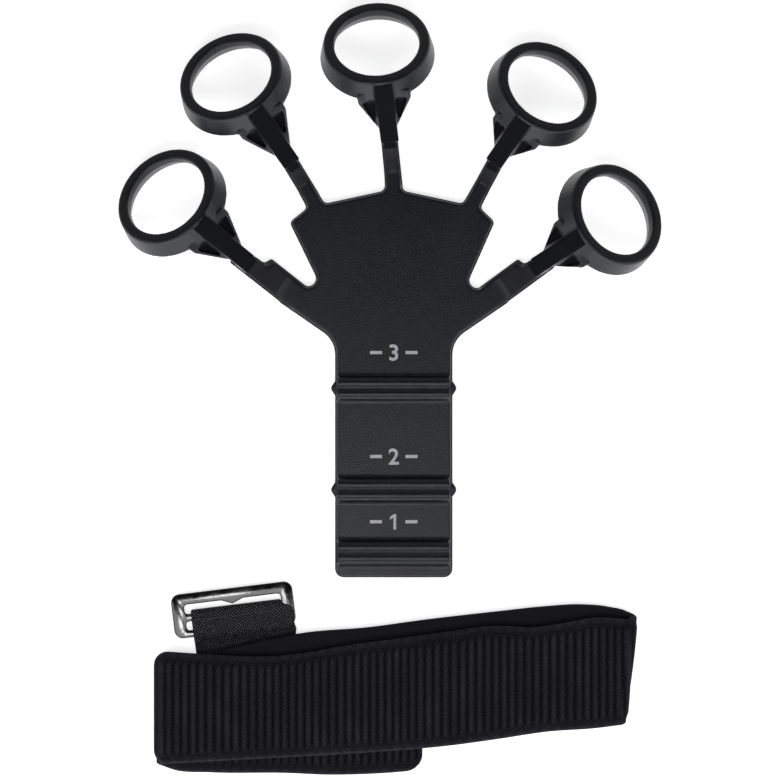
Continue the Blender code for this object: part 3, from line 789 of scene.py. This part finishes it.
BAND_W, BAND_T = 35.0, 2.4  # the cloth itself, a little thinner than the space that it lies in
RIB_PITCH, RIB_DEPTH = 2.43, 0.5
SELVEDGE = 2.2  # plain edge without ribs
EDGE_R = 1.0  # rounding of the band's edges
UNDER_MID, BACK_MID, FRONT_MID = 1.3, 4.2, 8.4  # height of each layer's middle
LEFT_END, UNDER_END = -68.4, 8.6  # where the left fold starts, and the free end of the lowest layer
FREE_END = -71.5  # free end of the front layer
STEP_X, STEP_Y = 0.243, 0.78  # grid of the cloth


def smooth_line(points):
    """A function of x that runs smoothly through the points."""
    xs, ys = np.array(points, float).T
    slopes = np.gradient(ys, xs)

    def value(x):
        i = np.clip(np.searchsorted(xs, x) - 1, 0, len(xs) - 2)
        gap = xs[i + 1] - xs[i]
        t = np.clip((x - xs[i]) / gap, 0, 1)
        blend_up = t * t * (3 - 2 * t)
        start_slope = slopes[i] * gap * t * (1 - t) ** 2
        end_slope = slopes[i + 1] * gap * t * t * (1 - t)
        return ys[i] * (1 - blend_up) + ys[i + 1] * blend_up + start_slope - end_slope
    return value


def spread(length, step, edge=EDGE_R):
    """Stations from 0 to 1 along a length, closer together in its rounded edges."""
    corner = edge * (1 - np.cos(np.linspace(0, math.pi / 2, 6)))
    middle = np.linspace(edge, length - edge, max(2, round((length - 2 * edge) / step)))
    return np.concatenate([corner[:-1], middle, (length - corner[:-1])[::-1]]) / length


def rounding(distance, radius=EDGE_R):
    """Share of the full thickness at a distance from the edge."""
    inward = np.clip(distance / radius, 0, 1)
    return np.sqrt(np.maximum(1 - (1 - inward) ** 2, 0))


def ribs(along, inside):
    """Height of the ribs, which stop short of the edges and wander a little."""
    wander = 0.35 * np.sin(along * 0.071 + 1.0) + 0.2 * np.sin(along * 0.19)
    wave = np.abs(np.sin(math.pi * (along + wander) / RIB_PITCH)) ** 0.8
    fade = np.clip((inside - SELVEDGE) / 1.5, 0, 1)
    swell = 0.94 + 0.06 * np.sin(along * 0.53 + inside * 0.21)
    return RIB_DEPTH * wave * fade * swell


def edge_fuzz_and_crest_highlight(along, inside, raised):
    """The worn edges show more pale fibre, and the ribs' crests are paler: a painted highlight."""
    edge = np.clip(1 - (inside - 0.7) / 1.1, 0, 1) ** 0.7
    plain = 0.35 * (1 - np.clip((inside - SELVEDGE) / 1.5, 0, 1))
    crest_highlight = (raised / RIB_DEPTH) ** 2.6
    return np.clip(np.maximum(edge * (0.8 + 0.2 * np.sin(along * 1.7)), plain + crest_highlight), 0, 1)


def cloth(name, middle, normal, upper, lower, along, aside, finishes, pale=None):
    """A closed strip of cloth: a grid of points, and its faces this far above and below them.

    finishes are the materials of its upper and lower face; along and aside, in mm, are its UV map,
    and pale says how much paler the fibre is: fuzz at the edges, and a painted highlight on the ribs'
    crests.
    """
    rows, columns = middle.shape[:2]
    top = (middle + normal * upper[..., None]).reshape(-1, 3) * MM + np.array(HOME)
    under = (middle - normal * lower[..., None]).reshape(-1, 3) * MM + np.array(HOME)
    index = np.arange(rows * columns).reshape(rows, columns)
    quads = np.stack([index[:-1, :-1], index[1:, :-1], index[1:, 1:], index[:-1, 1:]], -1).reshape(-1, 4)
    rim = np.concatenate([index[0, :-1], index[:-1, -1], index[-1, :0:-1], index[:0:-1, 0]])
    after = np.roll(rim, -1)
    shift = rows * columns
    walls = np.stack([rim, after, after + shift, rim + shift], -1)
    faces = np.concatenate([quads, quads[:, ::-1] + shift, walls])
    mesh = bpy.data.meshes.new(name)
    mesh.from_pydata(np.concatenate([top, under]).tolist(), [], faces.tolist())
    layer = mesh.uv_layers.new(name="cloth")
    flat = np.stack([along.ravel(), aside.ravel()], -1) * MM
    flat = np.concatenate([flat, flat])
    corners = np.empty(len(mesh.loops), np.int32)
    mesh.loops.foreach_get("vertex_index", corners)
    layer.data.foreach_set("uv", flat[corners].ravel())
    pale = np.zeros(rows * columns) if pale is None else pale.ravel()
    mesh.attributes.new("pale", "FLOAT", "POINT").data.foreach_set("value", np.concatenate([pale, pale]))
    for finish in finishes:
        mesh.materials.append(finish)
    side = np.zeros(len(faces), np.int32)
    side[len(quads):2 * len(quads)] = len(finishes) - 1
    mesh.polygons.foreach_set("material_index", side)
    made = bpy.data.objects.new(name, mesh)
    bpy.context.scene.collection.objects.link(made)
    tidy_shell(made)
    bpy.ops.object.shade_smooth_by_angle(angle=math.radians(70))
    return made


def corner_cut(inside, radius):
    """How far a rounded corner draws the end in, at a distance inside the band's edge."""
    reach = np.clip(radius - inside, 0, radius)
    return radius - np.sqrt(radius ** 2 - reach ** 2)


def layer_strip(name, edges, ends, height, open_ends, corners, ribs_up, finishes, wave=0.0):
    """One layer of the band, between its two edge lines and its two ends.

    ends are functions of the share across, from the lower edge at 0 to the upper edge at 1;
    open_ends says which ends are rounded over; corners are the radii at the left and right end.
    """
    low_line, top_line = (smooth_line(edge) for edge in edges)
    left, right = ends
    length = float(np.mean(right(np.array([0, 1])) - left(np.array([0, 1]))))
    share_along, share_across = np.meshgrid(spread(length, STEP_X), spread(BAND_W, STEP_Y))
    from_edge = np.minimum(share_across, 1 - share_across) * BAND_W
    first = left(share_across) + corner_cut(from_edge, corners[0]) * (corners[0] > 0)
    last = right(share_across) - corner_cut(from_edge, corners[1]) * (corners[1] > 0)
    x = first + share_along * (last - first)
    y = low_line(x) + share_across * (top_line(x) - low_line(x))
    lift = wave * (np.sin(x * 0.045 + 0.6) * 0.6 + np.sin(x * 0.11 + y * 0.05) * 0.4) * 0.5
    middle = np.stack([x, y, height + lift], -1)
    thick = rounding(from_edge)
    if open_ends[0]:
        thick = thick * rounding(x - first)
    if open_ends[1]:
        thick = thick * rounding(last - x)
    half = BAND_T / 2 * thick
    raised = ribs(x, from_edge) * thick
    ribbed_side = np.where(thick < 0.05, half, half - RIB_DEPTH / 2 + raised)
    upper, lower = (ribbed_side, half) if ribs_up else (half, ribbed_side)
    normal = np.broadcast_to(np.array([0.0, 0.0, 1.0]), middle.shape)
    inside = from_edge if not open_ends[0] else np.minimum(from_edge, x - first)
    return cloth(name, middle, normal, upper, lower, x, y, finishes, edge_fuzz_and_crest_highlight(x, inside, raised))


def fold_strip(name, side, end, edges, heights, outer_ribbed, finishes):
    """The turn that joins two layers at one end: a half circle of cloth that bulges out on that side.

    end gives where the turn starts, edges and heights are those of its first and second layer.
    """
    angle, share_across = np.meshgrid(np.linspace(-math.pi / 2, math.pi / 2, 41), spread(BAND_W, STEP_Y))
    radius = (heights[1] - heights[0]) / 2
    start_x = end(share_across)
    x = start_x + side * radius * np.cos(angle)
    z = (heights[0] + heights[1]) / 2 + radius * np.sin(angle)
    share = angle / math.pi + 0.5
    lines = [(smooth_line(low)(start_x), smooth_line(top)(start_x)) for low, top in edges]
    low = lines[0][0] * (1 - share) + lines[1][0] * share
    top = lines[0][1] * (1 - share) + lines[1][1] * share
    y = low + share_across * (top - low)
    middle = np.stack([x, y, z], -1)
    normal = np.stack([side * np.cos(angle), np.zeros_like(x), np.sin(angle)], -1)
    from_edge = np.minimum(share_across, 1 - share_across) * BAND_W
    thick = rounding(from_edge)
    half = BAND_T / 2 * thick
    along = start_x + side * radius * (math.pi / 2 - np.abs(angle))
    relief = ribs(along, from_edge) * thick
    raised = np.where(thick < 0.05, RIB_DEPTH / 2, relief) - RIB_DEPTH / 2
    outer, inner = (half + raised, half) if outer_ribbed else (half, half + raised)
    inner = np.minimum(inner, radius - 0.05)
    return cloth(name, middle, normal, outer, inner, along, y, finishes, edge_fuzz_and_crest_highlight(along, from_edge, relief))


def constant(value):
    return lambda share: np.full_like(np.asarray(share, float), value)


def right_end(share):
    """The right fold's outer line leans; this is where the turn starts, inside it."""
    return 66.2 + 3.4 * np.asarray(share, float)


def make_band(pile, plain):
    front = layer_strip("front_band", (FRONT_LOW, FRONT_TOP), (constant(FREE_END), right_end), FRONT_MID,
                        (True, False), (4.5, 0), True, (pile, plain), wave=0.5)
    back = layer_strip("back_band", (BACK_LOW, BACK_TOP), (constant(LEFT_END), right_end), BACK_MID,
                       (False, False), (0, 0), False, (plain, pile))
    under = layer_strip("under_band", (UNDER_LOW, UNDER_TOP), (constant(LEFT_END), constant(UNDER_END)),
                        UNDER_MID, (False, True), (0, 5.0), True, (pile, plain))
    right_turn = fold_strip("right_turn", 1, right_end, ((BACK_LOW, BACK_TOP), (FRONT_LOW, FRONT_TOP)),
                            (BACK_MID, FRONT_MID), True, (pile, plain))
    left_turn = fold_strip("left_turn", -1, constant(LEFT_END),
                           ((UNDER_LOW, UNDER_TOP), (BACK_LOW, BACK_TOP)), (UNDER_MID, BACK_MID), False,
                           (plain, pile))
    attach(front, "strap_front")
    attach(back, "strap_back")
    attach(under, "strap_under")
    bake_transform(right_turn)
    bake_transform(left_turn)
    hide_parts("front_layer")
    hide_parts("back_layer")
    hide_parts("under_layer")


# ---- webbing and buckle

TAB_TURN, TAB_X, BUCKLE_Y = 7.0, -48.0, -95.8
TAB_W, TAB_SHIFT, TAB_DRIFT, PLY_T = 27.0, 0.8, 3.6, 1.0
BUCKLE_W, BUCKLE_T, BUCKLE_SIDE, BUCKLE_Z = 36.6, 2.0, 3.8, 1.6
# Across the buckle, from the band's side: lower bar, webbing slot, centre bar, tail slot, upper bar
BUCKLE_EDGES = (-6.65, -4.45, -1.85, 0.45, 3.25, 6.65)
TOOTH_W, TOOTH_H = 6.6, 1.3
STITCH_R, STITCH_PITCH = 0.5, 1.3
SEAM_END, TAB_FLEX = -12.4, -8.2
LOW_PLY_Z, TOP_PLY_Z, SEWN_PLY_Z = 0.66, 4.38, 1.72  # middle of each ply


def buckle_place():
    turn = Matrix.Rotation(math.radians(TAB_TURN), 4, "Z")
    return Matrix.Translation(at(TAB_X, BUCKLE_Y)) @ turn


def make_buckle(enamel):
    """A pressed and enamelled steel frame, with a tooth in the slot that holds the tail."""
    half, edges = BUCKLE_W / 2, BUCKLE_EDGES
    outer = [(-half, edges[0], 2.6), (half, edges[0], 2.6), (half, edges[5], 2.6), (-half, edges[5], 2.6)]
    buckle = prism("enamelled_buckle", rounded(outer), BUCKLE_Z, BUCKLE_Z + BUCKLE_T, buckle_place())
    inner = half - BUCKLE_SIDE
    for low, high, tooth in ((edges[1], edges[2], False), (edges[3], edges[4], True)):
        corners = [(-inner, low, 0.9), (inner, low, 0.9), (inner, high, 0.9)]
        if tooth:
            corners += [(TOOTH_W / 2, high, 0.5), (0, high - TOOTH_H, 0.4), (-TOOTH_W / 2, high, 0.5)]
        corners.append((-inner, high, 0.9))
        cut(buckle, [prism("slot", rounded(corners, 5), -5, 9, buckle_place())], "DIFFERENCE")
    soften(buckle, 0.6, 5)
    finish_with(buckle, enamel)
    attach(buckle, "buckle_tab")
    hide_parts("buckle")


def webbing_path():
    """Side view of the webbing's middle: out under the buckle, round its bars, back over, and down."""
    bend_y, depth = BUCKLE_EDGES[3] - 0.25, 0.49
    radius = (TOP_PLY_Z - LOW_PLY_Z) / 2
    rising = arc((0, LOW_PLY_Z + radius), radius, -90, 90, 20)
    points = [(SEAM_END, LOW_PLY_Z), (TAB_FLEX, LOW_PLY_Z), (-4.0, LOW_PLY_Z), (0.0, LOW_PLY_Z)]
    points += [(bend_y + depth * y, z) for y, z in rising]
    points += [(-1.5, TOP_PLY_Z + 0.05), (-4.5, TOP_PLY_Z), (-6.4, 4.0), (-7.6, 3.1), (-8.6, 2.1),
               (-9.6, SEWN_PLY_Z), (SEAM_END, SEWN_PLY_Z)]
    return np.array(points)


def resampled(points, step):
    """The same line with even steps, its corners eased."""
    length = np.concatenate([[0], np.cumsum(np.linalg.norm(np.diff(points, axis=0), axis=1))])
    stations = np.linspace(0, length[-1], round(length[-1] / step))
    line = np.stack([np.interp(stations, length, points[:, i]) for i in (0, 1)], -1)
    for _ in range(6):
        line[1:-1] = (line[:-2] + 2 * line[1:-1] + line[2:]) / 4
    return line, stations


def make_webbing(finish, thread):
    line, stations = resampled(webbing_path(), 0.22)
    tangent = np.gradient(line, axis=0)
    tangent /= np.linalg.norm(tangent, axis=1)[:, None]
    outward = np.stack([tangent[:, 1], -tangent[:, 0]], -1)
    share = spread(TAB_W, 0.4, 0.5)
    aside = TAB_SHIFT + (share - 0.5) * TAB_W
    # Past the nose, the upper ply drifts to the right and spreads over the buckle's side
    past_nose = np.arange(len(line)) > int(np.argmax(line[:, 0]))
    ramp = np.clip((0.75 - line[:, 0]) / 2.0, 0, 1)
    drift = np.where(past_nose, ramp * ramp * (3 - 2 * ramp), 0.0) + 0.05 * np.sin(stations * 1.3)
    x = aside[:, None] + share[:, None] * TAB_DRIFT * drift[None, :]
    spots = np.stack([x, np.broadcast_to(line[:, 0], x.shape), np.broadcast_to(line[:, 1], x.shape)], -1)
    normals = np.zeros_like(spots)
    normals[..., 1], normals[..., 2] = outward[:, 0], outward[:, 1]
    place = np.array(buckle_place())
    middle = (spots * MM @ place[:3, :3].T + place[:3, 3] - np.array(HOME)) / MM
    normal = normals @ place[:3, :3].T
    half = PLY_T / 2 * rounding(np.minimum(share, 1 - share) * TAB_W, 0.5)
    half = np.broadcast_to(half[:, None], x.shape)
    along = np.broadcast_to(stations, x.shape)
    webbing = cloth("webbing_tab", middle, normal, half, half, along, x, (finish,))
    place = buckle_place()
    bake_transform(webbing)
    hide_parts("webbing_loop", "tab_seam")
    stitches = make_stitches("tab_stitches", [place @ Vector(((TAB_SHIFT + x) * MM, -1.6 * MM,
                             (TOP_PLY_Z + 0.53) * MM)) for x in np.arange(-12.4, 12.5, STITCH_PITCH)],
                             math.radians(TAB_TURN), thread)
    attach(stitches, "buckle_tab")


def make_stitches(name, spots, turn, thread):
    """A row of short sewn stitches, each a flattened bead of thread."""
    start()
    bpy.ops.mesh.primitive_uv_sphere_add(segments=8, ring_count=6, radius=STITCH_R * MM)
    bead = bpy.context.object
    bead.data.transform(Matrix.Diagonal((1.0, 0.32, 0.3, 1.0)))
    bead.data.transform(Matrix.Rotation(turn, 4, "Z"))
    copies = []
    for spot in spots:
        copy = bead.copy()
        copy.data = bead.data.copy()
        copy.data.transform(Matrix.Translation(spot))
        bpy.context.scene.collection.objects.link(copy)
        copies.append(copy)
    bpy.data.objects.remove(bead)
    row = join(copies, name)
    bpy.ops.object.shade_smooth()
    finish_with(row, thread)
    return row


def make_patch(finish):
    """The hook patch under the free end of the front layer."""
    low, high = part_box("hook_patch")
    corners = [(-69.3, -138.4, 3), (-25.0, -134.6, 1.0), (-25.0, -113.0, 1.0), (-69.3, -112.4, 3)]
    patch = prism("hook_tape", rounded(corners), low.z / MM + 0.05, high.z / MM + 0.25, HOME_PLACE)
    soften(patch, 0.2, 2)
    finish_with(patch, finish)
    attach(patch, "strap_front")
    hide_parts("hook_patch")


# ---- level marks

MARK_H = 4.6
INK_T, INK_SINK = 0.06, 0.05  # the print stands this proud, and starts this far below the surface
BAR_W, BAR_H, BAR_X = 3.6, 0.95, 5.3


def printed(name, outline, x, y):
    """A flat printed shape at this place on the moulding's top."""
    return prism(name, [(x + u, y + v) for u, v in outline], WEB_T - INK_SINK, WEB_T + INK_T, HOME_PLACE)


def make_mark(digit, y):
    """A printed numeral between two short bars."""
    numeral = one_mark(y) if digit == "1" else text_mark(digit, y)
    corners = [(u * BAR_W / 2, v * BAR_H / 2) for u, v in ((-1, -1), (1, -1), (1, 1), (-1, 1))]
    bars = [printed("bar", corners, side * BAR_X, y) for side in (-1, 1)]
    mark = join([numeral, *bars], f"level_mark_{digit}")
    tidy_shell(mark)
    for i in range(1, 12):
        edit(mark)
        bpy.ops.mesh.bisect(plane_co=at(0, y + (i - 6) * 0.5), plane_no=(0, 1, 0))
        done()
    return mark


def one_mark(y):
    half = MARK_H / 2
    outline = [(-0.1, -half), (0.7, -half), (0.7, half), (0.0, half), (-1.15, half - 0.95),
               (-1.15, half - 1.75), (-0.1, half - 1.05)]
    return printed("numeral", outline, 0, y)


def text_mark(digit, y):
    start()
    bpy.ops.object.text_add()
    text = bpy.context.object
    text.data.body = digit
    text.data.size = MARK_H / 0.69 * MM
    text.data.align_x, text.data.align_y = "CENTER", "CENTER"
    text.data.extrude = (INK_T + INK_SINK) / 2 * MM
    text.data.offset = 0.12 * MM
    bpy.ops.object.convert(target="MESH")
    numeral = bpy.context.object
    middle = middle_of(numeral)
    numeral.data.transform(Matrix.Translation(at(0, y, WEB_T + (INK_T - INK_SINK) / 2) - middle))
    numeral.matrix_world = Matrix.Identity(4)
    return numeral


def make_marks(ink):
    marks = [make_mark(digit, y) for digit, y in (("3", -18.8), ("2", -49.9), ("1", -69.4))]
    for mark in marks:
        finish_with(mark, ink)
    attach(marks[0], "palm")
    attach(marks[1], "tail_middle")
    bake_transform(marks[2])


# ---- studio

SKY_HORIZON, SKY_ZENITH, SKY_NORTH = 1.55, 0.08, 0.12
CAMERA_HEIGHT, WIDTH_SEEN, SENSOR_W = 1.2, 0.2352, 36.0


def soft_light(name, place, size, power, target=(0, 0, 0)):
    lamp = bpy.data.lights.new(name, "AREA")
    lamp.shape = "RECTANGLE"
    lamp.size, lamp.size_y = size
    lamp.energy = power
    made = bpy.data.objects.new(name, lamp)
    bpy.context.scene.collection.objects.link(made)
    made.location = place
    made.rotation_euler = (Vector(target) - Vector(place)).to_track_quat("-Z", "Y").to_euler()


def make_sky():
    """A pale band above the horizon, brightest to the south, under a dim ceiling."""
    world = bpy.data.worlds.new("studio")
    bpy.context.scene.world = world
    world.use_nodes = True
    tree = world.node_tree
    parts = node(tree, "SeparateXYZ", {0: node(tree, "TexCoord", {})["Generated"]})
    height = node(tree, "MapRange", {0: parts[2], 1: 0.02, 2: 0.5, 3: SKY_HORIZON, 4: SKY_ZENITH})[0]
    south = node(tree, "MapRange", {0: parts[1], 1: -0.9, 2: 0.9, 3: 1, 4: SKY_NORTH})[0]
    level = node(tree, "Math", {0: height, 1: south}, operation="MULTIPLY")[0]
    fill(tree, tree.nodes["Background"], {"Strength": level, "Color": (1, 1, 1, 1)})


def make_studio():
    start()
    bpy.ops.mesh.primitive_plane_add(size=6, location=(0, 0, -0.0002))
    floor = bpy.context.object
    floor.name = "table"
    table, tree, shader = new_material("matt_white_table")
    fill(tree, shader, {"Base Color": colour("FAFAFA"), "Roughness": 0.9,
                        "Emission Color": (1, 1, 1, 1), "Emission Strength": 0.7})
    finish_with(floor, table)
    soft_light("overhead_card", (0, -0.21, 0.5), (0.56, 0.26), 1.35, (0, -0.21, 0))
    # Small card below it, which the buckle's enamel mirrors
    soft_light("glint_card", (-0.077, -0.094, 0.45), (0.05, 0.032), 0.075, (-0.077, -0.094, 0))
    soft_light("south_window", (0, -1.4, 0.32), (2.0, 0.4), 9)
    soft_light("north_fill", (0, 1.6, 0.9), (2.2, 0.7), 4)
    soft_light("left_fill", (-1.5, -0.2, 0.5), (1.0, 0.5), 4)
    soft_light("right_fill", (1.5, -0.2, 0.5), (1.0, 0.5), 4)
    make_sky()
    bpy.context.scene.view_settings.view_transform = "Standard"


def make_camera():
    """Looks straight down from well above, with the tail pointing down the picture."""
    made = bpy.data.objects.new("camera", bpy.data.cameras.new("camera"))
    bpy.context.scene.collection.objects.link(made)
    made.data.sensor_width = SENSOR_W
    made.data.lens = SENSOR_W * CAMERA_HEIGHT / WIDTH_SEEN
    made.location = (0.00057, -0.00064, CAMERA_HEIGHT)
    made.data.clip_start, made.data.clip_end = 0.05, 20.0
    bpy.context.scene.camera = made


# ---- the object

moulding_parts = part_moulding(make_moulding(), (
    moulded_silicone(),
    # Two darker copies of the silicone, put on chosen faces as painted shade
    painted_shade_silicone("painted_shade_matt_silicone", "08090B", "111215", 0.75, 0.12),
    painted_shade_silicone("painted_shade_satin_silicone", "0C0D11", "17181D", 0.5, 0.3),
))
ride_moulding(moulding_parts)
make_marks(pad_print_ink())
make_band(looped_pile(), plain_knit())
make_patch(hook_tape())
make_buckle(gloss_enamel())
make_webbing(woven_nylon(), sewing_thread())

make_studio()
make_camera()
